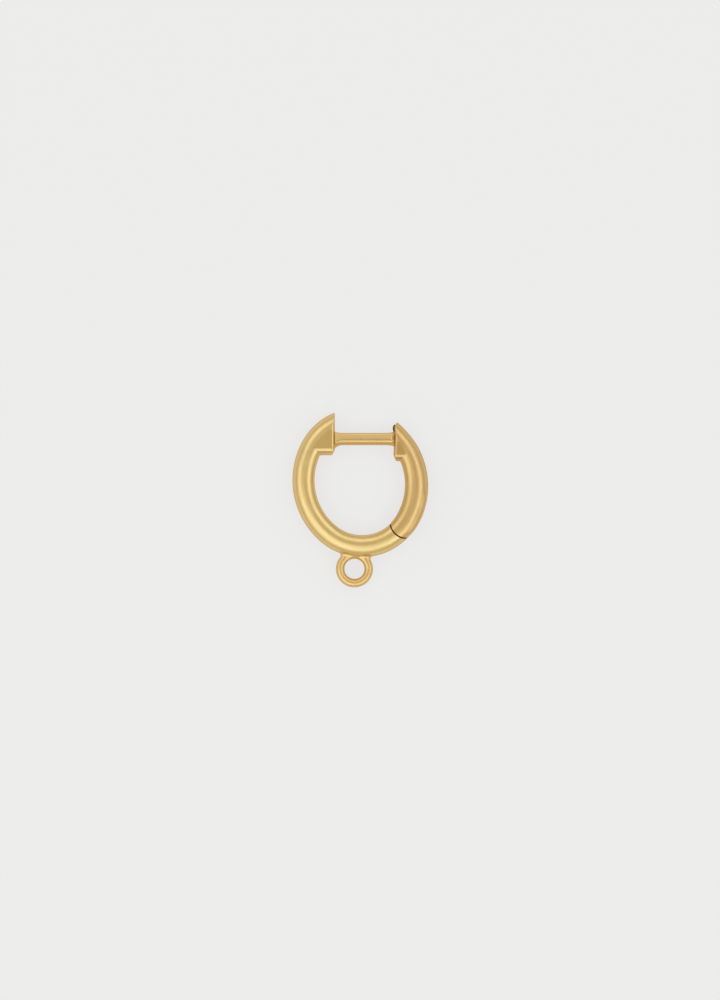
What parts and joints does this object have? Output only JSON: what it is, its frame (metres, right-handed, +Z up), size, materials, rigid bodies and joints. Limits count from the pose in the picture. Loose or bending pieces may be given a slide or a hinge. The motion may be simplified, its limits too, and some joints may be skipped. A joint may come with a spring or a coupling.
{
  "type": "hinged hoop earring with charm ring",
  "caption": "Small oval hinged hoop earring in round gold-coloured wire, with flat-sided ends, a straight ear post, a swinging clasp arm and a fixed ring below for a charm.",
  "frame": {"origin": "on the surface that the hoop lies on, under the middle of the whole earring", "axes": "+X along the ear post from the fixed block to the arm, +Y up the hoop away from the charm ring, +Z up, along the hoop's own axis"},
  "size_m": [0.011, 0.0142, 0.0018],
  "materials": {
    "gold_plate": "satin-polished gold plate",
    "gold_pin": "polished gold plate"
  },
  "bodies": {
    "hoop": {"hoop_body": "gold_plate"},
    "arm": {"clasp_arm": "gold_plate", "hinge_pin": "gold_pin"}
  },
  "joints": [
    {"name": "arm_hinge", "type": "hinge", "parent": "hoop", "child": "arm", "pos_m": [0.00378, -0.00178, 0.0009], "axis": [0, 0, -1], "range_deg": [0, 75]}
  ]
}
